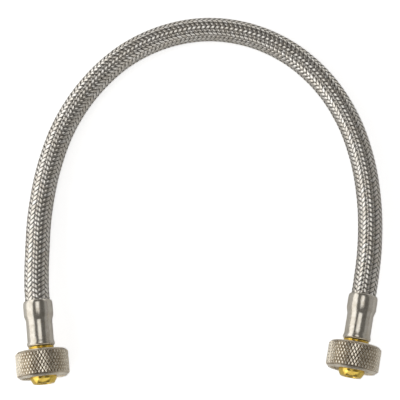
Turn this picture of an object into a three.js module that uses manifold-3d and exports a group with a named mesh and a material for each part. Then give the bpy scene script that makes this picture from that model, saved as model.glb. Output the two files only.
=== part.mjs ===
// Braided supply line: a rubber liner in a braided stainless sleeve, with a crimped ferrule, a turned
// brass nipple and a hand-tightened union nut at each end. It lies on a flat surface in an arch.
// Millimetres, +Z up. The origin is on that surface, midway between the two end fittings. The arch
// points to +Y and the fittings' mouths point to -Y.
import * as THREE from "three";
import { mergeVertices } from "three/addons/utils/BufferGeometryUtils.js";
import Module from "manifold-3d";

const wasm = await Module();
wasm.setup();

// Hose. The liner sits inside the braid with the shop clearance of all touching pieces.
const clearance = 0.3;
const hoseRadius = 6.15;
const linerWall = 0.7;
const linerRadius = 4.9;
const braidBore = linerRadius + clearance;

// Fitting lengths, measured along the fitting from the hose end of its ferrule.
const ferruleLength = 22.5;
const hoseInsertion = 19.3;
const nutBack = 24.6;
const nutLength = 13.2;
const noseTip = 40.8;

// Fitting radii.
const ferruleRadius = 7.25;
const crimpRadius = 6.4;
const ferruleWall = 0.4;
const barbRadius = 3.9;
const tailBore = 2.9;
const noseBore = 3.7;
const neckRadius = 6.2;
const noseRadius = 6.4;
const flangeRadius = 8.7;
const nutRadius = 12.9;
const threadMinorRadius = 9.35;
const threadMajorRadius = 10.45;

// The union nut's float towards the flange, and the thin pieces stacked inside it.
const nutShoulder = 2.5;
const nutFloat = 1.2;
const washerThickness = 0.8;
const flangeThickness = 1.5;
const sealThickness = 1.8;
const washerBack = nutBack + nutShoulder + clearance;
const flangeBack = washerBack + washerThickness + nutFloat + clearance;
const flangeFront = flangeBack + flangeThickness;
const sealBack = flangeFront + clearance;

// Where each fitting lies: the hose end of its ferrule, and the sideways lean of its axis. Both noses
// rise a little, because the nuts that carry them are thicker than the hose.
const noseRise = THREE.MathUtils.degToRad(5.5);
const places = {
  left: { ferruleTop: [-79.7, 18.1, 10.35], lean: THREE.MathUtils.degToRad(6.5) },
  right: { ferruleTop: [81.7, 20.9, 10.35], lean: THREE.MathUtils.degToRad(-11) },
};

// The hose's centre line from one ferrule to the other.
const freeRun = [
  [-80.4, 26.0, 9.7],
  [-80.6, 42.0, 8.4],
  [-79.7, 63.0, 7.2],
  [-75.7, 86.1, 6.4],
  [-67.9, 108.1, 6.2],
  [-55.2, 127.7, 6.2],
  [-38.2, 143.7, 6.2],
  [-17.7, 154.0, 6.2],
  [4.6, 157.9, 6.2],
  [27.0, 154.7, 6.2],
  [47.2, 145.1, 6.2],
  [64.2, 129.6, 6.2],
  [76.3, 110.1, 6.2],
  [83.4, 88.0, 6.4],
  [86.1, 65.0, 7.2],
  [85.4, 44.0, 8.5],
  [83.0, 27.6, 9.8],
];

const turnedSides = 32;
const hoseSides = 12;
const hoseSteps = 44;

const finishes = {
  braid: new THREE.MeshStandardMaterial({ color: 0xa8a59d, roughness: 0.4, metalness: 1 }),
  stainless: new THREE.MeshStandardMaterial({ color: 0xb9b5aa, roughness: 0.3, metalness: 1 }),
  nickel: new THREE.MeshStandardMaterial({ color: 0xb5ac9b, roughness: 0.35, metalness: 1 }),
  brass: new THREE.MeshStandardMaterial({ color: 0xd9a93a, roughness: 0.2, metalness: 1 }),
  rubber: new THREE.MeshStandardMaterial({ color: 0x1c1c1d, roughness: 0.7, metalness: 0 }),
  nylon: new THREE.MeshStandardMaterial({ color: 0xe6e1d2, roughness: 0.5, metalness: 0 }),
};

// A turned ring whose profile, a list of [radius, height] going round its section, closes on itself.
function turned(profile, sides = turnedSides) {
  const outline = [...profile, profile[0]].map(([radius, height]) => new THREE.Vector2(radius, height));
  return new THREE.LatheGeometry(outline, sides);
}

function named(name, geometry, finish) {
  const mesh = new THREE.Mesh(geometry, finishes[finish]);
  mesh.name = name;
  return mesh;
}

// A fitting's own frame has +Y along its axis, from the hose to the nose.
function fittingFrame(place) {
  const frame = new THREE.Group();
  frame.position.set(...place.ferruleTop);
  frame.rotation.set(Math.PI - noseRise, 0, place.lean, "ZYX");
  frame.updateMatrix();
  return frame;
}

function alongFitting(place, distance) {
  return new THREE.Vector3(0, distance, 0).applyMatrix4(fittingFrame(place).matrix);
}

// The whole centre line, with the straight stretches that sit inside the ferrules.
function hoseCentreLine() {
  const insideStations = [hoseInsertion, hoseInsertion / 2, 0];
  const start = insideStations.map((distance) => alongFitting(places.left, distance));
  const end = insideStations.map((distance) => alongFitting(places.right, distance)).reverse();
  const between = freeRun.map((point) => new THREE.Vector3(...point));
  return new THREE.CatmullRomCurve3([...start, ...between, ...end]);
}

// The stretch of a curve that leaves out the same length at both ends.
class Stretch extends THREE.Curve {
  constructor(whole, leftOut) {
    super();
    this.whole = whole;
    this.from = leftOut / whole.getLength();
  }
  getPoint(t, target = new THREE.Vector3()) {
    return this.whole.getPointAt(this.from + t * (1 - 2 * this.from), target);
  }
}

function roundTube(centreLine, outerRadius, boreRadius) {
  const section = new THREE.Shape().absarc(0, 0, outerRadius, 0, 2 * Math.PI);
  section.holes.push(new THREE.Path().absarc(0, 0, boreRadius, 0, 2 * Math.PI, true));
  return new THREE.ExtrudeGeometry(section, {
    extrudePath: centreLine,
    steps: hoseSteps,
    curveSegments: hoseSides / 2,
  });
}

function solid(geometry) {
  const bare = geometry.clone();
  bare.deleteAttribute("normal");
  bare.deleteAttribute("uv");
  const merged = mergeVertices(bare, 1e-3);
  return new wasm.Manifold(
    new wasm.Mesh({
      numProp: 3,
      vertProperties: merged.attributes.position.array,
      triVerts: new Uint32Array(merged.index.array),
    }),
  );
}

function geometryOf(joined) {
  const { vertProperties, triVerts } = joined.getMesh();
  return new THREE.BufferGeometry()
    .setAttribute("position", new THREE.BufferAttribute(vertProperties, 3))
    .setIndex(new THREE.BufferAttribute(triVerts, 1));
}

// The braid's end, necked down where the ferrule is crimped on it.
function crimpedBraidEnd(place) {
  const neckedRadius = crimpRadius - ferruleWall - clearance;
  const profile = [
    [braidBore, 3],
    [hoseRadius, 3],
    [hoseRadius, 6.5],
    [neckedRadius, 9.5],
    [neckedRadius, hoseInsertion],
    [braidBore, hoseInsertion],
  ];
  return turned(profile).applyMatrix4(fittingFrame(place).matrix);
}

function wireBraid(centreLine) {
  const run = new Stretch(centreLine, hoseInsertion - 5);
  let joined = solid(roundTube(run, hoseRadius, braidBore));
  for (const place of Object.values(places)) joined = joined.add(solid(crimpedBraidEnd(place)));
  return named("wire_braid", geometryOf(joined), "braid");
}

function innerTube(centreLine) {
  return named("inner_tube", roundTube(centreLine, linerRadius, linerRadius - linerWall), "rubber");
}

// Deep-drawn sleeve: a full-width cup over the hose end, crimped to a smaller radius over the barbs,
// with a bead and a folded-in end that grips the nipple's groove.
function crimpFerrule() {
  const lipBore = hoseRadius + clearance;
  const cupBore = ferruleRadius - ferruleWall;
  const crimpBore = crimpRadius - ferruleWall;
  const beadRadius = crimpRadius + 0.2;
  const foldedBore = 4.8;
  return turned([
    [lipBore, 0.3],
    [lipBore + 0.3, 0],
    [ferruleRadius - 0.35, 0.3],
    [ferruleRadius, 1.3],
    [ferruleRadius, 7.4],
    [crimpRadius, 10.2],
    [crimpRadius, ferruleLength - 2.2],
    [beadRadius, ferruleLength - 1.6],
    [beadRadius, ferruleLength - 0.7],
    [beadRadius - 0.5, ferruleLength],
    [foldedBore, ferruleLength],
    [foldedBore, ferruleLength - ferruleWall],
    [crimpBore, ferruleLength - 1.2],
    [crimpBore, 10.4],
    [cupBore, 7.6],
    [cupBore, 1.3],
    [lipBore, 0.8],
  ]);
}

// Turned brass nipple: barbed tail, groove under the ferrule's folded end, neck that the nut turns on,
// flange that the nut pulls up, and a coned nose.
function tailInsert() {
  const tailStart = 2.5;
  const barbPitch = 3.1;
  const barbCount = 5;
  const barbs = Array.from({ length: barbCount }, (_, i) => [
    [barbRadius - 0.45, tailStart + 0.6 + i * barbPitch],
    [barbRadius, tailStart + 0.2 + (i + 1) * barbPitch],
  ]).flat();
  const stopRadius = 4.5;
  const neckBack = ferruleLength + clearance;
  const coneStart = noseTip - 2.3;
  const coneEndRadius = 5.25;
  return turned([
    [tailBore, tailStart],
    ...barbs,
    [barbRadius - 0.45, hoseInsertion + clearance],
    [stopRadius, hoseInsertion + clearance],
    [stopRadius, neckBack],
    [neckRadius, neckBack],
    [neckRadius, neckBack + 0.4],
    [neckRadius - 0.3, neckBack + 0.5],
    [neckRadius - 0.3, neckBack + 0.8],
    [neckRadius, neckBack + 0.9],
    [neckRadius, flangeBack],
    [flangeRadius, flangeBack],
    [flangeRadius, flangeFront],
    [noseRadius, flangeFront],
    [noseRadius, coneStart],
    [coneEndRadius, noseTip - 0.3],
    [coneEndRadius - 0.3, noseTip],
    [noseBore + 0.3, noseTip],
    [noseBore, noseTip - 0.3],
    [noseBore, flangeBack],
    [tailBore, flangeBack - 1],
  ]);
}

function flatRing(bore, radius, thickness) {
  return turned([
    [bore, 0],
    [radius, 0],
    [radius, thickness],
    [bore, thickness],
  ]);
}

// The nut's shoulder runs on the neck, with less room than the ferrule's bead needs to pass through it.
function unionNut() {
  const shoulderBore = neckRadius + 0.2;
  const backChamfer = 1.3;
  const mouthChamfer = 1.6;
  const reliefEnd = nutShoulder + 2.1;
  return turned(
    [
      [shoulderBore, 0],
      [nutRadius - backChamfer, 0],
      [nutRadius, backChamfer],
      [nutRadius, nutLength - mouthChamfer],
      [nutRadius - mouthChamfer, nutLength],
      [threadMajorRadius, nutLength],
      [threadMinorRadius, nutLength - 1.1],
      [threadMinorRadius, reliefEnd],
      [threadMajorRadius, reliefEnd],
      [threadMajorRadius, nutShoulder],
      [shoulderBore, nutShoulder],
    ],
    40,
  );
}

function endFitting(side, place) {
  const frame = fittingFrame(place);
  const washer = named(`${side}_thrust_washer`, flatRing(neckRadius + clearance, 8.9, washerThickness), "nylon");
  washer.position.y = washerBack;
  const seal = named(`${side}_nose_seal`, flatRing(noseRadius + clearance, flangeRadius, sealThickness), "rubber");
  seal.position.y = sealBack;
  const nut = named(`${side}_union_nut`, unionNut(), "nickel");
  nut.position.y = nutBack;
  frame.add(
    named(`${side}_crimp_ferrule`, crimpFerrule(), "stainless"),
    named(`${side}_tail_insert`, tailInsert(), "brass"),
    washer,
    seal,
    nut,
  );
  return frame;
}

const supplyLine = new THREE.Group();
const centreLine = hoseCentreLine();
supplyLine.add(wireBraid(centreLine), innerTube(centreLine));
for (const [side, place] of Object.entries(places)) supplyLine.add(endFitting(side, place));

export default supplyLine;
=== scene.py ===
import math

import bpy
import numpy as np
from mathutils import Matrix, Vector


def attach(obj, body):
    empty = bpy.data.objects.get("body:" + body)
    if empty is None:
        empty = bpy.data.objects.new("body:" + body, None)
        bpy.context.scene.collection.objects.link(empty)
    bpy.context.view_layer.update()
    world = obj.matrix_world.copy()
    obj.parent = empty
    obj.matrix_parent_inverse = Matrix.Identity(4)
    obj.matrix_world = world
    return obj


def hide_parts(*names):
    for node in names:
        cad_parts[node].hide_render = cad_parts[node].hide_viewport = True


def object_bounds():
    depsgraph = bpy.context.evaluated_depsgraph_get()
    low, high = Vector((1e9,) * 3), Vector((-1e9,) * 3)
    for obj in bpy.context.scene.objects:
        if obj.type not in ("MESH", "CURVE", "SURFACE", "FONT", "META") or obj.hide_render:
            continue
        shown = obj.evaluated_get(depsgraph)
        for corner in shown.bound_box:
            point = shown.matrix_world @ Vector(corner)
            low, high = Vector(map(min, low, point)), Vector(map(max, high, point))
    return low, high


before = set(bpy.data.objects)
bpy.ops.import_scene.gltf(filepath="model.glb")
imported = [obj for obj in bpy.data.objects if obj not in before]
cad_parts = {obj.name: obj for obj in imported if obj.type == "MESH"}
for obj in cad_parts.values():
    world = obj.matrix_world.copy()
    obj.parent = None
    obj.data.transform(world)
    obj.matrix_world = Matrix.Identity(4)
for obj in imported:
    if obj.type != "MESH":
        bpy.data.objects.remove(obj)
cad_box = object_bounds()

bpy.ops.object.select_all(action="DESELECT")
MM = 0.001

# ---------------------------------------------------------------------------------------------------
# Camera. It looks almost straight down on the arch, from a little in front of the fittings' mouths,
# so that the noses and the near edge of each nut's end face can be seen.
low, high = (Vector(corner) for corner in cad_box)
look_at = Vector(((low.x + high.x) / 2 - 0.65 * MM, 70.05 * MM, 0))
camera_distance = 575 * MM
camera_tilt = math.radians(8)
camera_data = bpy.data.cameras.new("camera")
camera_data.lens = 101.4
camera = bpy.data.objects.new("camera", camera_data)
camera.location = look_at + camera_distance * Vector((0, -math.sin(camera_tilt), math.cos(camera_tilt)))
camera.rotation_euler = (camera_tilt, 0, 0)
bpy.context.collection.objects.link(camera)
bpy.context.scene.camera = camera

# ---------------------------------------------------------------------------------------------------
# The hose's centre line. A hose of this kind is stiff: it stands straight inside each ferrule, leaves
# it straight, and then lies on the surface in one arch. Each end is held up by its fatter union nut.
NOSE_RISE = math.radians(5.5)
ENDS = {
    "left": {"ferrule_top": Vector((-0.0797, 0.0181, 0.01035)), "lean": math.radians(6.5)},
    "right": {"ferrule_top": Vector((0.0817, 0.0209, 0.01035)), "lean": math.radians(-11)},
}
HOSE_INSERTION = 19.3 * MM
FREE_RUN = [
    (-0.0804, 0.0260, 0.0097),
    (-0.0806, 0.0420, 0.0084),
    (-0.0797, 0.0630, 0.0072),
    (-0.0757, 0.0861, 0.0064),
    (-0.0679, 0.1081, 0.0062),
    (-0.0552, 0.1277, 0.0062),
    (-0.0382, 0.1437, 0.0062),
    (-0.0177, 0.1540, 0.0062),
    (0.0046, 0.1579, 0.0062),
    (0.0270, 0.1547, 0.0062),
    (0.0472, 0.1451, 0.0062),
    (0.0642, 0.1296, 0.0062),
    (0.0763, 0.1101, 0.0062),
    (0.0834, 0.0880, 0.0064),
    (0.0861, 0.0650, 0.0072),
    (0.0854, 0.0440, 0.0085),
    (0.0830, 0.0276, 0.0098),
]


def fitting_matrix(side):
    """From a fitting's own frame, whose +Z runs from the hose to the nose, to the part's frame."""
    turn = Matrix.Rotation(ENDS[side]["lean"], 4, "Z") @ Matrix.Rotation(math.pi / 2 - NOSE_RISE, 4, "X")
    return Matrix.Translation(ENDS[side]["ferrule_top"]) @ turn


def inside_ferrule(side):
    stations = (HOSE_INSERTION, HOSE_INSERTION / 2, 0)
    return [fitting_matrix(side) @ Vector((0, 0, station)) for station in stations]


def smooth_curve(points, per_span):
    """A centripetal Catmull-Rom curve through the points, with as many samples in each span."""
    ends = [2 * points[0] - points[1], *points, 2 * points[-1] - points[-2]]
    samples = []
    for p0, p1, p2, p3 in zip(ends, ends[1:], ends[2:], ends[3:]):
        t1 = np.linalg.norm(p1 - p0) ** 0.5
        t2 = t1 + np.linalg.norm(p2 - p1) ** 0.5
        t3 = t2 + np.linalg.norm(p3 - p2) ** 0.5
        t = np.linspace(t1, t2, per_span, endpoint=False)[:, None]
        a1 = ((t1 - t) * p0 + t * p1) / t1
        a2 = ((t2 - t) * p1 + (t - t1) * p2) / (t2 - t1)
        a3 = ((t3 - t) * p2 + (t - t2) * p3) / (t3 - t2)
        b1 = ((t2 - t) * a1 + t * a2) / t2
        b2 = ((t3 - t) * a2 + (t - t1) * a3) / (t3 - t1)
        samples.append(((t2 - t) * b1 + (t - t1) * b2) / (t2 - t1))
    return np.concatenate([*samples, points[-1:]])


free_points = [Vector(point) for point in FREE_RUN]
route = np.array([*inside_ferrule("left"), *free_points, *reversed(inside_ferrule("right"))])
fine_line = smooth_curve(route, 60)
fine_reach = np.concatenate([[0], np.cumsum(np.linalg.norm(np.diff(fine_line, axis=0), axis=1))])
HOSE_LENGTH = fine_reach[-1]


def hose_frames(reach):
    """The hose's centre at these distances along it, and unit vectors upwards and to the side there."""
    step = 0.5 * MM
    centre, ahead, behind = (
        np.stack([np.interp(reach + shift, fine_reach, fine_line[:, axis]) for axis in range(3)], axis=1)
        for shift in (0, step, -step)
    )
    tangent = ahead - behind
    tangent /= np.linalg.norm(tangent, axis=1)[:, None]
    up = np.array([0, 0, 1]) - tangent * tangent[:, 2:]
    up /= np.linalg.norm(up, axis=1)[:, None]
    return centre, up, np.cross(tangent, up)


def crimp_squeeze(reach):
    """How much the crimped ferrule presses the hose in, at these distances along it."""
    cup_depth = 7 * MM
    slope = 2.5 * MM
    deepest = 0.43 * MM
    from_end = np.minimum(reach, HOSE_LENGTH - reach)
    return deepest * np.clip((HOSE_INSERTION - cup_depth - from_end) / slope, 0, 1)


# ---------------------------------------------------------------------------------------------------
# The braid: 24 flat bundles of fine stainless wires, twelve wound each way by the braiding machine.
# Each passes over two and under two of the others, so the floats form twelve stripes along the hose.
BRAID_LEAD = 28.9 * MM
BUNDLES_EACH_WAY = 12
BUNDLES_PER_PIECE = 4
BUNDLE_WIDTH = 1.62 * MM
BUNDLE_THICKNESS = 0.34 * MM
BUNDLE_CROWN = 0.1 * MM
WIRES_PER_BUNDLE = 7
WIRE_RELIEF = 0.02 * MM
WEAVE_RISE = 0.25 * MM
WEAVE_RADIUS = 6.15 * MM - WEAVE_RISE - BUNDLE_THICKNESS / 2
FLOAT_CENTRE = math.radians(33)
STEPS_PER_CROSSING = 4

crossing_count = HOSE_LENGTH / BRAID_LEAD * 2 * BUNDLES_EACH_WAY
bundle_reach = np.linspace(0, HOSE_LENGTH, round(crossing_count * STEPS_PER_CROSSING) + 1)
hose_centre, hose_up, hose_side = hose_frames(bundle_reach)


def bundle_section():
    """A bundle's section as (across, out) pairs: a crowned row of round wires over a flat underside."""
    across = np.linspace(-1, 1, 2 * WIRES_PER_BUNDLE + 1)
    out = BUNDLE_THICKNESS / 2 - BUNDLE_CROWN * across**2
    out[::2] -= WIRE_RELIEF
    top = np.stack([across * BUNDLE_WIDTH / 2, out], axis=1)
    under = np.array([[0.85, -0.5], [-0.85, -0.5]]) * (BUNDLE_WIDTH / 2, BUNDLE_THICKNESS)
    return np.concatenate([top, under])


def bundle_rings(number, way):
    """One bundle as rings of points, and its lift, which is 1 where it floats and -1 where it is under."""
    sector = 2 * math.pi / BUNDLES_EACH_WAY
    start = FLOAT_CENTRE - sector / 4
    angle = start + sector * number + way * 2 * math.pi * bundle_reach / BRAID_LEAD
    lift = way * np.cos(6 * (angle - FLOAT_CENTRE))
    radius = WEAVE_RADIUS + WEAVE_RISE * lift - crimp_squeeze(bundle_reach)
    outward = np.cos(angle)[:, None] * hose_up + np.sin(angle)[:, None] * hose_side
    spine = hose_centre + radius[:, None] * outward
    tangent = np.gradient(spine, axis=0)
    tangent /= np.linalg.norm(tangent, axis=1)[:, None]
    normal = outward - tangent * np.sum(outward * tangent, axis=1)[:, None]
    normal /= np.linalg.norm(normal, axis=1)[:, None]
    across = np.cross(tangent, normal)
    section = bundle_section()[:, None, None, :]
    rings = spine + across * section[..., 0] + normal * section[..., 1]
    return rings.transpose(1, 0, 2), lift


def swept_mesh(name, sweeps, reach, values):
    """A mesh of closed sweeps, each an array of rings of points. Its UV map runs round a section in U
    and along in V, in centimetres, and each value is a number for every ring of every sweep."""
    rings, sides = sweeps[0].shape[:2]
    per_sweep = rings * sides
    ring, corner = np.meshgrid(np.arange(rings - 1), np.arange(sides), indexing="ij")
    beside = (corner + 1) % sides
    quads = np.stack([ring * sides + corner, ring * sides + beside], -1)
    quads = np.concatenate([quads, quads[..., ::-1] + sides], -1).reshape(-1, 4)
    faces = []
    for number in range(len(sweeps)):
        base = number * per_sweep
        faces += (quads + base).tolist()
        faces.append(list(range(base + sides - 1, base - 1, -1)))
        faces.append(list(range(base + per_sweep - sides, base + per_sweep)))
    mesh = bpy.data.meshes.new(name)
    mesh.from_pydata(np.concatenate(sweeps).reshape(-1, 3), [], faces)
    around = np.stack([corner, corner + 1, corner + 1, corner], -1) / sides
    along = reach[np.stack([ring, ring, ring + 1, ring + 1], -1)] * 100
    quad_uv = np.stack([around, along], -1).reshape(-1, 2)
    cap_uv = np.zeros((2 * sides, 2))
    uv_map = mesh.uv_layers.new(name="around_and_along")
    uv_map.data.foreach_set("uv", np.concatenate([quad_uv, cap_uv] * len(sweeps)).ravel())
    for value_name, numbers in values.items():
        attribute = mesh.attributes.new(value_name, "FLOAT", "POINT")
        attribute.data.foreach_set("value", np.repeat(np.concatenate(numbers), sides))
    mesh.shade_smooth()
    piece = bpy.data.objects.new(name, mesh)
    bpy.context.collection.objects.link(piece)
    return piece


def node_group(name, inputs, outputs):
    """An empty shader node group with these named sockets, and the nodes that carry them."""
    group = bpy.data.node_groups.new(name, "ShaderNodeTree")
    for socket, (kind, value) in inputs.items():
        made = group.interface.new_socket(socket, in_out="INPUT", socket_type="NodeSocket" + kind)
        if value is not None:
            made.default_value = value
    for socket, kind in outputs.items():
        group.interface.new_socket(socket, in_out="OUTPUT", socket_type="NodeSocket" + kind)
    return group, group.nodes.new("NodeGroupInput"), group.nodes.new("NodeGroupOutput")


def add_node(tree, kind, sources=(), **settings):
    """A node of this kind, with its settings, and its inputs linked or set by name or number."""
    node = tree.nodes.new(kind)
    for setting, value in settings.items():
        setattr(node, setting, value)
    for socket, source in dict(sources).items():
        if isinstance(source, bpy.types.NodeSocket):
            tree.links.new(source, node.inputs[socket])
        else:
            node.inputs[socket].default_value = source
    return node


def mix_colours(tree, share, first, second):
    """The socket of a mix of two colours, each a socket or a plain colour."""
    factor, colour_a, colour_b, result = 0, 6, 7, 2
    mix = add_node(tree, "ShaderNodeMix", data_type="RGBA")
    for socket, source in ((factor, share), (colour_a, first), (colour_b, second)):
        if isinstance(source, bpy.types.NodeSocket):
            tree.links.new(source, mix.inputs[socket])
        else:
            mix.inputs[socket].default_value = source
    return mix.outputs[result]


# Long fine marks, as drawing, brushing and turning leave them: a noise stretched along one direction.
grain_group, grain_in, grain_out = node_group(
    "stretched_grain",
    {"Place": ("Vector", None), "Stretch": ("Vector", None), "Depth": ("Float", 0.2)},
    {"Value": "Float", "Normal": "Vector"},
)
stretched = add_node(
    grain_group,
    "ShaderNodeVectorMath",
    {0: grain_in.outputs["Place"], 1: grain_in.outputs["Stretch"]},
    operation="MULTIPLY",
)
grain_noise = add_node(
    grain_group, "ShaderNodeTexNoise", {"Vector": stretched.outputs[0], "Scale": 1.0, "Detail": 3.0}
)
grain_bump = add_node(
    grain_group,
    "ShaderNodeBump",
    {"Height": grain_noise.outputs["Fac"], "Strength": grain_in.outputs["Depth"], "Distance": 0.05 * MM},
)
grain_group.links.new(grain_noise.outputs["Fac"], grain_out.inputs["Value"])
grain_group.links.new(grain_bump.outputs[0], grain_out.inputs["Normal"])

# Handling and dust: a cloudy mask that decides where a bright finish has gone dull or brown, plus painted
# shade from its Painted Shade input.
tarnish_and_shade_group, tarnish_and_shade_in, tarnish_and_shade_out = node_group(
    "cloudy_tarnish_and_painted_shade",
    {
        "Place": ("Vector", None),
        "Scale": ("Float", 300.0),
        "Painted Shade": ("Float", 0.0),
        "Clean": ("Color", (1, 1, 1, 1)),
        "Dull": ("Color", (0.5, 0.45, 0.4, 1)),
        "Amount": ("Float", 0.5),
    },
    {"Color": "Color", "Mask": "Float"},
)
clouds = add_node(
    tarnish_and_shade_group,
    "ShaderNodeTexNoise",
    {"Vector": tarnish_and_shade_in.outputs["Place"], "Scale": tarnish_and_shade_in.outputs["Scale"], "Detail": 4.0},
)
cloud_mask = add_node(
    tarnish_and_shade_group,
    "ShaderNodeMapRange",
    {"Value": clouds.outputs["Fac"], "From Min": 0.42, "From Max": 0.72},
)
cloud_share = add_node(
    tarnish_and_shade_group,
    "ShaderNodeMath",
    {0: cloud_mask.outputs[0], 1: tarnish_and_shade_in.outputs["Amount"]},
    operation="MULTIPLY",
)
# The Painted Shade input adds painted shade to the tarnish mask, so recesses take the same dull colour.
tarnish_and_shade_mask = add_node(
    tarnish_and_shade_group,
    "ShaderNodeMath",
    {0: cloud_share.outputs[0], 1: tarnish_and_shade_in.outputs["Painted Shade"]},
    operation="ADD",
    use_clamp=True,
)
tarnished_and_shaded = mix_colours(
    tarnish_and_shade_group, tarnish_and_shade_mask.outputs[0], tarnish_and_shade_in.outputs["Clean"], tarnish_and_shade_in.outputs["Dull"]
)
tarnish_and_shade_group.links.new(tarnished_and_shaded, tarnish_and_shade_out.inputs["Color"])
tarnish_and_shade_group.links.new(tarnish_and_shade_mask.outputs[0], tarnish_and_shade_out.inputs["Mask"])


def new_material(name, surface):
    """A material whose one shader has these constant settings, and its tree and shader."""
    material = bpy.data.materials.new(name)
    material.use_nodes = True
    shader = material.node_tree.nodes["Principled BSDF"]
    for socket, value in surface.items():
        shader.inputs[socket].default_value = value
    return material, material.node_tree, shader


def place_group(tree, group, sources):
    return add_node(tree, "ShaderNodeGroup", sources, node_tree=group)


wire_steel, tree, shader = new_material("braided_wire", {"Metallic": 1.0, "IOR": 2.0})
lift = add_node(tree, "ShaderNodeAttribute", attribute_name="lift")
tone = add_node(tree, "ShaderNodeAttribute", attribute_name="bundle_tone")
wire_uv = add_node(tree, "ShaderNodeUVMap", uv_map="around_and_along")
# Painted shade: the colour darkens to near-black where a bundle dives under the crossing bundles and along
# the edges of each bundle's top.
sunk_painted_shade = add_node(
    tree,
    "ShaderNodeMapRange",
    {"Value": lift.outputs["Fac"], "From Min": 0.5, "From Max": -0.4, "To Max": 0.9},
)
round_bundle = add_node(tree, "ShaderNodeSeparateXYZ", {"Vector": wire_uv.outputs[0]})
top_share = (2 * WIRES_PER_BUNDLE) / (2 * WIRES_PER_BUNDLE + 3)
off_middle = add_node(
    tree, "ShaderNodeMath", {0: round_bundle.outputs["X"], 1: top_share / 2}, operation="SUBTRACT"
)
off_middle = add_node(tree, "ShaderNodeMath", {0: off_middle.outputs[0]}, operation="ABSOLUTE")
bundle_edge_painted_shade = add_node(
    tree,
    "ShaderNodeMapRange",
    {
        "Value": off_middle.outputs[0],
        "From Min": top_share * 0.34,
        "From Max": top_share * 0.5,
        "To Max": 0.7,
    },
)
painted_shade_share = add_node(
    tree, "ShaderNodeMath", {0: sunk_painted_shade.outputs[0], 1: bundle_edge_painted_shade.outputs[0]}, operation="ADD", use_clamp=True
)
# Cloudy tarnish and the painted shade share the near-black dull colour.
wire_tarnish_and_painted_shade = place_group(
    tree,
    tarnish_and_shade_group,
    {
        "Place": add_node(tree, "ShaderNodeTexCoord").outputs["Object"],
        "Scale": 420.0,
        "Painted Shade": painted_shade_share.outputs[0],
        "Clean": (0.86, 0.83, 0.78, 1),
        "Dull": (0.07, 0.06, 0.05, 1),
        "Amount": 0.2,
    },
)
wire_grain = place_group(
    tree, grain_group, {"Place": wire_uv.outputs[0], "Stretch": (60.0, 4.0, 1.0), "Depth": 0.25}
)
bundle_shade = mix_colours(tree, tone.outputs["Fac"], wire_tarnish_and_painted_shade.outputs["Color"], (0.52, 0.46, 0.37, 1))
wire_gloss = add_node(
    tree,
    "ShaderNodeMapRange",
    {"Value": wire_grain.outputs["Value"], "To Min": 0.16, "To Max": 0.32},
)
tree.links.new(bundle_shade, shader.inputs["Base Color"])
tree.links.new(wire_gloss.outputs[0], shader.inputs["Roughness"])
tree.links.new(wire_grain.outputs["Normal"], shader.inputs["Normal"])

tone_draw = np.random.default_rng(7)
for way, hand in ((1, "right"), (-1, "left")):
    for first in range(0, BUNDLES_EACH_WAY, BUNDLES_PER_PIECE):
        bundles = [bundle_rings(number, way) for number in range(first, first + BUNDLES_PER_PIECE)]
        tones = tone_draw.uniform(0, 0.45, BUNDLES_PER_PIECE)
        values = {
            "lift": [lift for _, lift in bundles],
            "bundle_tone": [np.full(len(bundle_reach), shade) for shade in tones],
        }
        name = f"braid_{hand}_wound_{first // BUNDLES_PER_PIECE + 1}"
        piece = swept_mesh(name, [rings for rings, _ in bundles], bundle_reach, values)
        piece.data.materials.append(wire_steel)
        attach(piece, "hose")
        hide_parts("wire_braid")

# ---------------------------------------------------------------------------------------------------
# The liner: a black extruded rubber tube that carries the water. It runs the whole way inside the
# braid, shows as dark points between the bundles, and is held on the nipples' barbs by the ferrules.
LINER_RADIUS = 5.3 * MM
LINER_WALL = 0.85 * MM
LINER_SIDES = 48
LINER_STEP = 2 * MM

liner_reach = np.linspace(0, HOSE_LENGTH, round(HOSE_LENGTH / LINER_STEP) + 1)
liner_centre, liner_up, liner_side = hose_frames(liner_reach)
around = np.arange(LINER_SIDES) * 2 * math.pi / LINER_SIDES
outward = np.cos(around)[:, None, None] * liner_up + np.sin(around)[:, None, None] * liner_side
outer = liner_centre + outward * (LINER_RADIUS - crimp_squeeze(liner_reach))[:, None]
bore = liner_centre + outward * (LINER_RADIUS - LINER_WALL - crimp_squeeze(liner_reach) / 2)[:, None]

liner_mesh = bpy.data.meshes.new("liner_tube")
liner_verts = np.concatenate([outer.transpose(1, 0, 2), bore.transpose(1, 0, 2)], axis=1)
loop = 2 * LINER_SIDES
liner_faces = []
for ring in range(len(liner_reach) - 1):
    for corner in range(LINER_SIDES):
        beside = (corner + 1) % LINER_SIDES
        here, there = ring * loop, (ring + 1) * loop
        liner_faces.append([here + beside, here + corner, there + corner, there + beside])
        inside = LINER_SIDES
        liner_faces.append(
            [here + inside + corner, here + inside + beside, there + inside + beside, there + inside + corner]
        )
for corner in range(LINER_SIDES):
    beside = (corner + 1) % LINER_SIDES
    last = (len(liner_reach) - 1) * loop
    inside = LINER_SIDES
    liner_faces.append([corner, beside, inside + beside, inside + corner])
    liner_faces.append([last + beside, last + corner, last + inside + corner, last + inside + beside])
liner_mesh.from_pydata(liner_verts.reshape(-1, 3), [], liner_faces)
liner_mesh.shade_smooth()
liner = bpy.data.objects.new("liner_tube", liner_mesh)
bpy.context.collection.objects.link(liner)

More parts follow.
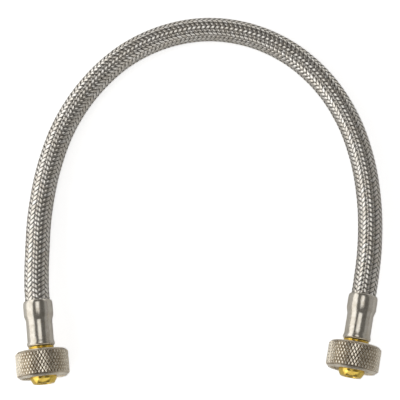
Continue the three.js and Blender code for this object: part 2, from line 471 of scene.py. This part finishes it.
liner_rubber, tree, shader = new_material("liner_rubber", {"Specular IOR Level": 0.35})
rubber_dust = place_group(
    tree,
    tarnish_and_shade_group,
    {
        "Place": add_node(tree, "ShaderNodeTexCoord").outputs["Object"],
        "Scale": 500.0,
        "Clean": (0.018, 0.017, 0.016, 1),
        "Dull": (0.06, 0.055, 0.05, 1),
        "Amount": 0.6,
    },
)
rubber_dullness = add_node(
    tree, "ShaderNodeMapRange", {"Value": rubber_dust.outputs["Mask"], "To Min": 0.55, "To Max": 0.8}
)
tree.links.new(rubber_dust.outputs["Color"], shader.inputs["Base Color"])
tree.links.new(rubber_dullness.outputs[0], shader.inputs["Roughness"])
liner.data.materials.append(liner_rubber)
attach(liner, "hose")
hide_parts("inner_tube")

# ---------------------------------------------------------------------------------------------------
# The ferrules: sleeves deep-drawn from thin stainless tube. The full-width cup takes the hose's end,
# and eight jaws have crimped the rest down over the nipple's barbs, leaving a bead at the nut's end.
FERRULE_RADIUS = 7.25 * MM
FERRULE_LENGTH = 22.5 * MM
CRIMP_RADIUS = 6.5 * MM
BEAD_RADIUS = 6.8 * MM
SHEET_THICKNESS = 0.4 * MM
CRIMP_START = 9.8 * MM
CRIMP_END = 20.3 * MM
CRIMP_JAWS = 8
CRIMP_FLATNESS = 0.9
SAME_POINT = 0.001 * MM


def draw_section(name, profile):
    """Draws a new piece's section, a list of (radius, height) that closes on itself, beside the Z axis
    and leaves edit mode open on it."""
    bpy.ops.object.select_all(action="DESELECT")
    bpy.ops.mesh.primitive_plane_add(size=MM)
    bpy.context.object.name = name
    bpy.ops.object.mode_set(mode="EDIT")
    bpy.ops.mesh.select_mode(type="VERT")
    bpy.ops.mesh.merge(type="CENTER")
    bpy.ops.transform.translate(value=(profile[0][0], 0, profile[0][1]))
    for (radius, height), (next_radius, next_height) in zip(profile, profile[1:] + profile[:1]):
        step = (next_radius - radius, 0, next_height - height)
        bpy.ops.mesh.extrude_region_move(TRANSFORM_OT_translate={"value": step})
    bpy.ops.mesh.select_all(action="SELECT")
    bpy.ops.mesh.remove_doubles(threshold=SAME_POINT)


def turned(name, profile, steps, edge_round):
    """Turns a piece about Z from its section and rounds its sharp edges."""
    draw_section(name, profile)
    bpy.ops.mesh.spin(steps=steps, angle=2 * math.pi, center=(0, 0, 0), axis=(0, 0, 1))
    bpy.ops.mesh.select_all(action="SELECT")
    bpy.ops.mesh.remove_doubles(threshold=SAME_POINT)
    bpy.ops.mesh.normals_make_consistent(inside=False)
    bpy.ops.object.mode_set(mode="OBJECT")
    piece = bpy.context.object
    rounding = piece.modifiers.new("edge_round", "BEVEL")
    rounding.limit_method = "ANGLE"
    rounding.angle_limit = math.radians(25)
    rounding.width = edge_round
    rounding.segments = 2
    bpy.ops.object.modifier_apply(modifier=rounding.name)
    bpy.ops.object.mode_set(mode="EDIT")
    bpy.ops.mesh.select_all(action="SELECT")
    bpy.ops.mesh.remove_doubles(threshold=SAME_POINT)
    bpy.ops.object.mode_set(mode="OBJECT")
    bpy.ops.object.shade_smooth_by_angle(angle=math.radians(40))
    return piece


def choose_vertices(piece, wanted):
    """Leaves edit mode open on the piece with just the vertices selected that the test picks."""
    bpy.ops.object.mode_set(mode="EDIT")
    bpy.ops.mesh.select_mode(type="VERT")
    bpy.ops.mesh.select_all(action="DESELECT")
    bpy.ops.object.mode_set(mode="OBJECT")
    for vertex in piece.data.vertices:
        vertex.select = wanted(vertex.co)
    bpy.ops.object.mode_set(mode="EDIT")


def lay_on_fitting(piece, side, station=0.0):
    """Keeps the piece's place on the lathe as an attribute for its material, then lays it where its
    fitting is, this far along from the ferrule's hose end."""
    bpy.ops.object.select_all(action="DESELECT")
    piece.select_set(True)
    bpy.context.view_layer.objects.active = piece
    on_lathe = piece.data.attributes.new("place_on_lathe", "FLOAT_VECTOR", "POINT")
    on_lathe.data.foreach_set("vector", np.array([vertex.co for vertex in piece.data.vertices]).ravel())
    piece.matrix_world = fitting_matrix(side) @ Matrix.Translation((0, 0, station))
    bpy.ops.object.transform_apply()


def for_both_sides(piece):
    """The piece for the left fitting, and a copy of it with its own mesh for the right one."""
    bpy.ops.object.select_all(action="DESELECT")
    piece.select_set(True)
    bpy.context.view_layer.objects.active = piece
    bpy.ops.object.duplicate()
    right = bpy.context.object
    name = piece.name
    piece.name = "left_" + name
    right.name = "right_" + name
    return {"left": piece, "right": right}


ferrule = turned(
    "ferrule",
    [
        (6.35 * MM, 0.35 * MM),
        (6.6 * MM, 0),
        (FERRULE_RADIUS - 0.4 * MM, 0.15 * MM),
        (FERRULE_RADIUS - 0.05 * MM, 1.1 * MM),
        (FERRULE_RADIUS, 2.2 * MM),
        (FERRULE_RADIUS, 7.2 * MM),
        (CRIMP_RADIUS + 0.12 * MM, CRIMP_START - 0.5 * MM),
        (CRIMP_RADIUS, CRIMP_START + 0.3 * MM),
        *((CRIMP_RADIUS, CRIMP_START + share * (CRIMP_END - CRIMP_START)) for share in (0.25, 0.5, 0.75)),
        (CRIMP_RADIUS, CRIMP_END - 0.3 * MM),
        (BEAD_RADIUS, CRIMP_END + 0.6 * MM),
        (BEAD_RADIUS, FERRULE_LENGTH - 0.7 * MM),
        (BEAD_RADIUS - 0.5 * MM, FERRULE_LENGTH),
        (4.8 * MM, FERRULE_LENGTH),
        (4.8 * MM, FERRULE_LENGTH - SHEET_THICKNESS),
        (CRIMP_RADIUS - SHEET_THICKNESS - 0.2 * MM, CRIMP_END + 1 * MM),
        (CRIMP_RADIUS - SHEET_THICKNESS - 0.2 * MM, CRIMP_START + 0.4 * MM),
        (FERRULE_RADIUS - SHEET_THICKNESS, 7.4 * MM),
        (FERRULE_RADIUS - SHEET_THICKNESS, 1.4 * MM),
        (6.4 * MM, 0.8 * MM),
    ],
    steps=128,
    edge_round=0.18 * MM,
)
half_jaw = math.pi / CRIMP_JAWS
for jaw in range(CRIMP_JAWS):
    choose_vertices(
        ferrule,
        lambda co: CRIMP_START < co.z < CRIMP_END
        and co.xy.length > CRIMP_RADIUS - 0.1 * MM
        and abs(math.atan2(co.y, co.x)) < 0.97 * half_jaw,
    )
    chord = (CRIMP_RADIUS * math.cos(half_jaw), 0, 0)
    bpy.ops.transform.resize(value=(CRIMP_FLATNESS, 1, 1), center_override=chord)
    bpy.ops.mesh.select_all(action="SELECT")
    bpy.ops.transform.rotate(value=2 * half_jaw, orient_axis="Z", center_override=(0, 0, 0))
    bpy.ops.object.mode_set(mode="OBJECT")

drawn_stainless, tree, shader = new_material("drawn_stainless", {"Metallic": 1.0, "IOR": 2.0})
on_lathe = add_node(tree, "ShaderNodeAttribute", attribute_name="place_on_lathe")
draw_lines = place_group(
    tree,
    grain_group,
    {"Place": on_lathe.outputs["Vector"], "Stretch": (4000.0, 4000.0, 160.0), "Depth": 0.22},
)
ferrule_tarnish = place_group(
    tree,
    tarnish_and_shade_group,
    {
        "Place": on_lathe.outputs["Vector"],
        "Scale": 330.0,
        "Clean": (0.68, 0.64, 0.565, 1),
        "Dull": (0.47, 0.41, 0.32, 1),
        "Amount": 0.55,
    },
)
draw_gloss = add_node(
    tree, "ShaderNodeMapRange", {"Value": draw_lines.outputs["Value"], "To Min": 0.14, "To Max": 0.28}
)
tree.links.new(ferrule_tarnish.outputs["Color"], shader.inputs["Base Color"])
tree.links.new(draw_gloss.outputs[0], shader.inputs["Roughness"])
tree.links.new(draw_lines.outputs["Normal"], shader.inputs["Normal"])

for side, piece in for_both_sides(ferrule).items():
    lay_on_fitting(piece, side)
    piece.data.materials.append(drawn_stainless)
    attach(piece, "hose")
    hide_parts(f"{side}_crimp_ferrule")

# ---------------------------------------------------------------------------------------------------
# The nipples: turned from brass bar. The barbed tail holds the hose, the neck carries the nut, the
# flange is what the nut pulls up, and the coned nose centres itself in the pipe it is screwed to.
TAIL_START = 2.5 * MM
TAIL_BORE = 2.9 * MM
BARB_RADIUS = 3.9 * MM
BARB_PITCH = 3.1 * MM
BARB_COUNT = 5
BARB_DEPTH = 0.45 * MM
NECK_START = 22.8 * MM
NECK_RADIUS = 6.2 * MM
GROOVE_DEPTH = 0.3 * MM
FLANGE_BACK = 29.7 * MM
FLANGE_FRONT = 31.2 * MM
FLANGE_RADIUS = 8.7 * MM
NOSE_RADIUS = 6.4 * MM
NOSE_BORE = 3.7 * MM
CONE_START = 38.5 * MM
CONE_END_RADIUS = 5.25 * MM
NOSE_TIP = 40.8 * MM

barbs = []
for barb in range(BARB_COUNT):
    foot = TAIL_START + barb * BARB_PITCH
    barbs.append((BARB_RADIUS - BARB_DEPTH, foot + 0.6 * MM))
    barbs.append((BARB_RADIUS, foot + 0.2 * MM + BARB_PITCH))
nipple = turned(
    "nipple",
    [
        (TAIL_BORE, TAIL_START),
        *barbs,
        (BARB_RADIUS - BARB_DEPTH, HOSE_INSERTION + 0.3 * MM),
        (4.5 * MM, HOSE_INSERTION + 0.3 * MM),
        (4.5 * MM, NECK_START),
        (NECK_RADIUS, NECK_START),
        (NECK_RADIUS, NECK_START + 0.4 * MM),
        (NECK_RADIUS - GROOVE_DEPTH, NECK_START + 0.55 * MM),
        (NECK_RADIUS - GROOVE_DEPTH, NECK_START + 0.85 * MM),
        (NECK_RADIUS, NECK_START + 1.0 * MM),
        (NECK_RADIUS, FLANGE_BACK),
        (FLANGE_RADIUS, FLANGE_BACK),
        (FLANGE_RADIUS, FLANGE_FRONT),
        (NOSE_RADIUS, FLANGE_FRONT),
        (NOSE_RADIUS, CONE_START),
        (CONE_END_RADIUS, NOSE_TIP - 0.3 * MM),
        (CONE_END_RADIUS - 0.3 * MM, NOSE_TIP),
        (NOSE_BORE + 0.3 * MM, NOSE_TIP),
        (NOSE_BORE, NOSE_TIP - 0.3 * MM),
        (NOSE_BORE, FLANGE_BACK),
        (TAIL_BORE, FLANGE_BACK - 1 * MM),
    ],
    steps=96,
    edge_round=0.15 * MM,
)

turned_brass, tree, shader = new_material("turned_brass", {"Metallic": 1.0, "IOR": 1.6})
on_lathe = add_node(tree, "ShaderNodeAttribute", attribute_name="place_on_lathe")
tool_marks = place_group(
    tree,
    grain_group,
    {"Place": on_lathe.outputs["Vector"], "Stretch": (60.0, 60.0, 5000.0), "Depth": 0.03},
)
brass_tarnish = place_group(
    tree,
    tarnish_and_shade_group,
    {
        "Place": on_lathe.outputs["Vector"],
        "Scale": 420.0,
        "Clean": (0.86, 0.62, 0.13, 1),
        "Dull": (0.52, 0.31, 0.06, 1),
        "Amount": 0.45,
    },
)
brass_gloss = add_node(
    tree, "ShaderNodeMapRange", {"Value": tool_marks.outputs["Value"], "To Min": 0.12, "To Max": 0.24}
)
tree.links.new(brass_tarnish.outputs["Color"], shader.inputs["Base Color"])
tree.links.new(brass_gloss.outputs[0], shader.inputs["Roughness"])
tree.links.new(tool_marks.outputs["Normal"], shader.inputs["Normal"])

for side, piece in for_both_sides(nipple).items():
    lay_on_fitting(piece, side)
    piece.data.materials.append(turned_brass)
    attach(piece, "hose")
    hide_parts(f"{side}_tail_insert")

# ---------------------------------------------------------------------------------------------------
# The seals: flat rings punched from black rubber sheet, pushed over each nose down to the flange. The
# nut squeezes them against the end of the pipe.
SEAL_BORE = 6.7 * MM
SEAL_BACK = FLANGE_FRONT + 0.3 * MM
SEAL_THICKNESS = 1.8 * MM
seal = turned(
    "seal",
    [
        (SEAL_BORE, 0),
        (FLANGE_RADIUS, 0),
        (FLANGE_RADIUS + 0.04 * MM, SEAL_THICKNESS / 2),
        (FLANGE_RADIUS, SEAL_THICKNESS),
        (SEAL_BORE, SEAL_THICKNESS),
    ],
    steps=72,
    edge_round=0.2 * MM,
)
for side, piece in for_both_sides(seal).items():
    lay_on_fitting(piece, side, SEAL_BACK)
    piece.data.materials.append(liner_rubber)
    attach(piece, "hose")
    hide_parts(f"{side}_nose_seal")

# ---------------------------------------------------------------------------------------------------
# The thrust washers: thin nylon rings between each nut's shoulder and the flange. They let the nut
# slide and turn without dragging on the seal.
WASHER_BACK = 27.4 * MM
WASHER_THICKNESS = 0.8 * MM
WASHER_RADIUS = 8.9 * MM
washer = turned(
    "washer",
    [
        (NECK_RADIUS + 0.3 * MM, 0),
        (WASHER_RADIUS, 0),
        (WASHER_RADIUS, WASHER_THICKNESS / 2),
        (WASHER_RADIUS, WASHER_THICKNESS),
        (NECK_RADIUS + 0.3 * MM, WASHER_THICKNESS),
    ],
    steps=72,
    edge_round=0.15 * MM,
)

slip_nylon, tree, shader = new_material("slip_nylon", {"Specular IOR Level": 0.5})
nylon_tone = place_group(
    tree,
    tarnish_and_shade_group,
    {
        "Place": add_node(tree, "ShaderNodeTexCoord").outputs["Object"],
        "Scale": 350.0,
        "Clean": (0.78, 0.75, 0.67, 1),
        "Dull": (0.66, 0.61, 0.5, 1),
        "Amount": 0.7,
    },
)
nylon_gloss = add_node(
    tree, "ShaderNodeMapRange", {"Value": nylon_tone.outputs["Mask"], "To Min": 0.4, "To Max": 0.6}
)
tree.links.new(nylon_tone.outputs["Color"], shader.inputs["Base Color"])
tree.links.new(nylon_gloss.outputs[0], shader.inputs["Roughness"])
for side, piece in for_both_sides(washer).items():
    lay_on_fitting(piece, side, WASHER_BACK)
    piece.data.materials.append(slip_nylon)
    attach(piece, f"{side}_slip")
    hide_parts(f"{side}_thrust_washer")

# ---------------------------------------------------------------------------------------------------
# The union nuts: turned from nickel-plated brass bar, knurled all over for the fingers and chamfered
# afterwards, bored to slip over the ferrule's neck and threaded inside with a half-inch pipe thread.
NUT_BACK = 24.6 * MM
NUT_RADIUS = 12.9 * MM
NUT_LENGTH = 13.2 * MM
NUT_SHOULDER = 2.5 * MM
SHOULDER_BORE = NECK_RADIUS + 0.2 * MM
THREAD_MINOR = 9.35 * MM
THREAD_MAJOR = 10.45 * MM
THREAD_PITCH = 1.814 * MM
THREAD_TURNS = 4
KNURL_COLUMNS = 48
KNURL_ROWS = 6
KNURL_PITCH = 3.0 * MM
KNURL_DEPTH = 0.6 * MM
KNURL_FLANK = 0.2 * MM
KNURL_CROWN = 0.14 * MM

nut = turned(
    "union_nut",
    [
        (SHOULDER_BORE, 0.2 * MM),
        (SHOULDER_BORE + 0.3 * MM, 0),
        (NUT_RADIUS - 1.3 * MM, 0),
        (NUT_RADIUS + 0.1 * MM, 1.4 * MM),
        (NUT_RADIUS + 0.1 * MM, NUT_LENGTH - 1.7 * MM),
        (NUT_RADIUS - 1.6 * MM, NUT_LENGTH),
        (THREAD_MAJOR + 0.1 * MM, NUT_LENGTH),
        (THREAD_MAJOR, NUT_LENGTH - 0.4 * MM),
        (THREAD_MAJOR, NUT_SHOULDER),
        (SHOULDER_BORE, NUT_SHOULDER),
    ],
    steps=112,
    edge_round=0.12 * MM,
)

bpy.ops.object.select_all(action="DESELECT")
bpy.ops.mesh.primitive_cylinder_add(
    vertices=KNURL_COLUMNS,
    radius=NUT_RADIUS - KNURL_DEPTH,
    depth=KNURL_ROWS * KNURL_PITCH,
    end_fill_type="NOTHING",
    location=(0, 0, NUT_LENGTH / 2),
)
bpy.ops.object.transform_apply()
knurled_bar = bpy.context.object


def choose_edges(piece, wanted):
    """Leaves edit mode open on the piece with just the edges selected that the test picks."""
    bpy.ops.object.mode_set(mode="EDIT")
    bpy.ops.mesh.select_mode(type="EDGE")
    bpy.ops.mesh.select_all(action="DESELECT")
    bpy.ops.object.mode_set(mode="OBJECT")
    corners = piece.data.vertices
    for edge in piece.data.edges:
        edge.select = wanted(*(corners[index].co for index in edge.vertices))
    bpy.ops.object.mode_set(mode="EDIT")


def level(a, b):
    return abs(a.z - b.z) < 0.01 * MM


def upright(a, b):
    return (a.xy - b.xy).length < 0.01 * MM


# The cylinder's grid of squares, quartered and joined again across its edges, is a net of diamonds.
choose_edges(knurled_bar, upright)
bpy.ops.mesh.subdivide(number_cuts=KNURL_ROWS - 1)
bpy.ops.mesh.select_all(action="SELECT")
bpy.ops.mesh.poke()
bpy.ops.object.mode_set(mode="OBJECT")
half_bar = KNURL_ROWS * KNURL_PITCH / 2
choose_edges(
    knurled_bar,
    lambda a, b: upright(a, b) or (level(a, b) and abs(a.z - NUT_LENGTH / 2) < half_bar - 0.1 * MM),
)
bpy.ops.mesh.dissolve_edges(use_verts=False, use_face_split=False)
bpy.ops.mesh.select_mode(type="FACE")
bpy.ops.mesh.select_all(action="DESELECT")
bpy.ops.mesh.select_face_by_sides(number=4, type="EQUAL")
bpy.ops.mesh.inset(thickness=KNURL_FLANK, depth=KNURL_DEPTH - KNURL_CROWN, use_individual=True)
bpy.ops.mesh.inset(thickness=KNURL_FLANK, depth=KNURL_CROWN, use_individual=True)
bpy.ops.mesh.select_mode(type="EDGE")
bpy.ops.mesh.select_all(action="SELECT")
bpy.ops.mesh.fill_holes(sides=0)
bpy.ops.mesh.select_all(action="SELECT")
bpy.ops.mesh.normals_make_consistent(inside=False)
bpy.ops.object.mode_set(mode="OBJECT")


def cut_or_join(piece, other, operation):
    bpy.context.view_layer.objects.active = piece
    boolean = piece.modifiers.new("boolean", "BOOLEAN")
    boolean.operation = operation
    boolean.object = other
    bpy.ops.object.modifier_apply(modifier=boolean.name)
    bpy.data.objects.remove(other)


cut_or_join(nut, knurled_bar, "INTERSECT")

# The thread is one sharp ridge wound four turns up the bore, its two ends capped flat.
ridge_foot = THREAD_MAJOR + 0.15 * MM
ridge_start = NUT_SHOULDER + 1.4 * MM
draw_section(
    "thread",
    [
        (ridge_foot, ridge_start),
        (THREAD_MINOR, ridge_start + 0.42 * THREAD_PITCH),
        (THREAD_MINOR, ridge_start + 0.52 * THREAD_PITCH),
        (ridge_foot, ridge_start + 0.94 * THREAD_PITCH),
    ],
)
bpy.ops.object.mode_set(mode="OBJECT")
thread = bpy.context.object
winding = thread.modifiers.new("winding", "SCREW")
winding.angle = 2 * math.pi
winding.screw_offset = THREAD_PITCH
winding.iterations = THREAD_TURNS
winding.steps = 48
winding.render_steps = 48
bpy.ops.object.modifier_apply(modifier=winding.name)
bpy.ops.object.mode_set(mode="EDIT")
bpy.ops.mesh.select_mode(type="EDGE")
bpy.ops.mesh.select_all(action="SELECT")
bpy.ops.mesh.fill_holes(sides=0)
bpy.ops.mesh.select_all(action="SELECT")
bpy.ops.mesh.normals_make_consistent(inside=False)
bpy.ops.object.mode_set(mode="OBJECT")
cut_or_join(nut, thread, "UNION")
bpy.ops.object.select_all(action="DESELECT")
nut.select_set(True)
bpy.ops.object.shade_smooth_by_angle(angle=math.radians(25))

nickel_plate, tree, shader = new_material("nickel_plate", {"Metallic": 1.0, "IOR": 2.0})
on_lathe = add_node(tree, "ShaderNodeAttribute", attribute_name="place_on_lathe")
lathe_axes = add_node(tree, "ShaderNodeSeparateXYZ", {"Vector": on_lathe.outputs["Vector"]})
across_axis = add_node(
    tree, "ShaderNodeCombineXYZ", {"X": lathe_axes.outputs["X"], "Y": lathe_axes.outputs["Y"]}
)
from_axis = add_node(
    tree, "ShaderNodeVectorMath", {0: across_axis.outputs[0]}, operation="LENGTH"
)
# Painted shade: the knurl's grooves are darkened towards the dull brown, more so the deeper they are.
knurl_recess = add_node(
    tree,
    "ShaderNodeMapRange",
    {
        "Value": from_axis.outputs["Value"],
        "From Min": NUT_RADIUS - 0.15 * MM,
        "From Max": NUT_RADIUS - KNURL_DEPTH,
        "To Max": 0.8,
    },
)
outside = add_node(
    tree,
    "ShaderNodeMath",
    {0: from_axis.outputs["Value"], 1: NUT_RADIUS - KNURL_DEPTH - 0.1 * MM},
    operation="GREATER_THAN",
)
knurl_groove_painted_shade = add_node(
    tree, "ShaderNodeMath", {0: knurl_recess.outputs[0], 1: outside.outputs[0]}, operation="MULTIPLY"
)
nut_tarnish_and_painted_shade = place_group(
    tree,
    tarnish_and_shade_group,
    {
        "Place": on_lathe.outputs["Vector"],
        "Scale": 260.0,
        "Painted Shade": knurl_groove_painted_shade.outputs[0],
        "Clean": (0.88, 0.81, 0.68, 1),
        "Dull": (0.32, 0.24, 0.15, 1),
        "Amount": 0.35,
    },
)
plate_marks = place_group(
    tree,
    grain_group,
    {"Place": on_lathe.outputs["Vector"], "Stretch": (600.0, 600.0, 6000.0), "Depth": 0.2},
)
plate_gloss = add_node(
    tree, "ShaderNodeMapRange", {"Value": plate_marks.outputs["Value"], "To Min": 0.18, "To Max": 0.36}
)
tree.links.new(nut_tarnish_and_painted_shade.outputs["Color"], shader.inputs["Base Color"])
tree.links.new(plate_gloss.outputs[0], shader.inputs["Roughness"])
tree.links.new(plate_marks.outputs["Normal"], shader.inputs["Normal"])

for side, piece in for_both_sides(nut).items():
    lay_on_fitting(piece, side, NUT_BACK)
    piece.data.materials.append(nickel_plate)
    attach(piece, f"{side}_nut")
    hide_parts(f"{side}_union_nut")

# ---------------------------------------------------------------------------------------------------
# The hose's centre line, sampled at 161 points from one fitting to the other.
path_reach = np.linspace(0, HOSE_LENGTH, 161)
hose_path = hose_frames(path_reach)[0]

# ---------------------------------------------------------------------------------------------------
# The stage: a pale floor, soft lights on the left and overhead, weaker ones on the right, behind and in
# front, and a plain surround. The floor and the surround are paler to the camera than to the metal.
FLOOR_SIZE = 6.0
bpy.ops.object.select_all(action="DESELECT")
bpy.ops.mesh.primitive_plane_add(size=FLOOR_SIZE, location=(0, 0, min(low.z, 0) - 0.05 * MM))
floor = bpy.context.object
floor.name = "floor"
bpy.ops.object.transform_apply()
pale_floor, tree, shader = new_material(
    "pale_floor", {"Base Color": (0.83, 0.83, 0.825, 1), "Roughness": 0.7, "Emission Color": (1, 1, 1, 1)}
)
seen_directly = add_node(tree, "ShaderNodeLightPath")
floor_lift = add_node(
    tree,
    "ShaderNodeMath",
    {0: seen_directly.outputs["Is Camera Ray"], 1: 0.62, 2: 0.08},
    operation="MULTIPLY_ADD",
)
tree.links.new(floor_lift.outputs[0], shader.inputs["Emission Strength"])
floor.data.materials.append(pale_floor)


def softbox(name, middle, width, height, radiance, turn=(0, 0, 0)):
    """A rectangular soft light with its middle here. Unturned it faces down."""
    lamp = bpy.data.lights.new(name, "AREA")
    lamp.shape = "RECTANGLE"
    lamp.size = width
    lamp.size_y = height
    lamp.energy = radiance * math.pi * width * height
    light = bpy.data.objects.new(name, lamp)
    light.location = middle
    light.rotation_euler = turn
    light.visible_camera = False
    bpy.context.collection.objects.link(light)


upright_turn = math.pi / 2
softbox("overhead_light", (-0.012, 0.365, 1.03), 0.475, 0.67, 1.15)
softbox("left_light", (-0.385, 0.07, 0.225), 0.45, 1.0, 1.3, (0, -upright_turn, 0))
softbox("right_light", (0.31, 0.07, 0.12), 0.24, 1.0, 0.25, (0, upright_turn, 0))
softbox("back_light", (0, 0.60, 0.08), 1.2, 0.14, 1.0, (-upright_turn, 0, 0))
softbox("front_light", (0, -0.35, 0.40), 1.2, 0.40, 0.75, (upright_turn, 0, 0))

surround = bpy.data.worlds.new("surround")
surround.use_nodes = True
background = surround.node_tree.nodes["Background"]
background.inputs["Color"].default_value = (1.0, 0.98, 0.95, 1)
seen_directly = add_node(surround.node_tree, "ShaderNodeLightPath")
backdrop = add_node(
    surround.node_tree,
    "ShaderNodeMath",
    {0: seen_directly.outputs["Is Camera Ray"], 1: 0.7, 2: 0.15},
    operation="MULTIPLY_ADD",
)
surround.node_tree.links.new(backdrop.outputs[0], background.inputs["Strength"])
bpy.context.scene.world = surround
bpy.context.scene.view_settings.view_transform = "Standard"
